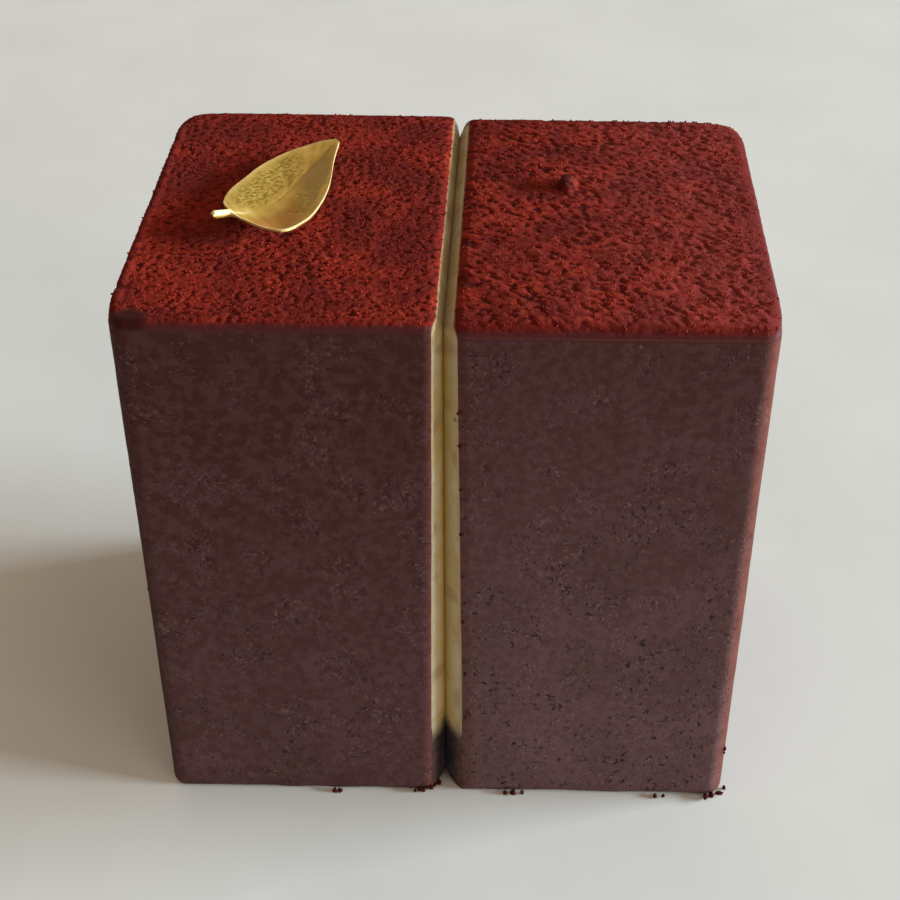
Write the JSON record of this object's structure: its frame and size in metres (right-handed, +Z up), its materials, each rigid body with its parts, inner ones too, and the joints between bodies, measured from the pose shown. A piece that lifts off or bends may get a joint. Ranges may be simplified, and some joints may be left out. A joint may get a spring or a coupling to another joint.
{
  "type": "chocolate marquise",
  "caption": "Tall coated chocolate block cut down the middle: pale cream on a dark base under a thin chocolate coat, cocoa dusted on top, with a gilded leaf.",
  "frame": {"origin": "centre of the footprint, on the floor that the block stands on", "axes": "+Z up, front face towards -Y, +X to the right when looking at the front, the cut in the YZ plane"},
  "size_m": [0.075, 0.0544, 0.0773],
  "materials": {
    "chocolate_coat": "matte chocolate coat with fine specks",
    "cream": "smooth pale cream, satin",
    "dark_base": "dark crumbly base, matte",
    "cocoa": "dry clumped cocoa powder, matte",
    "gilding": "gilded, crinkled satin"
  },
  "bodies": {
    "root": {"left_base": "dark_base", "left_cream": "cream", "left_coat": "chocolate_coat", "left_cocoa": "cocoa", "right_base": "dark_base", "right_cream": "cream", "right_coat": "chocolate_coat", "right_cocoa": "cocoa", "gold_leaf": "gilding"}
  },
  "joints": []
}
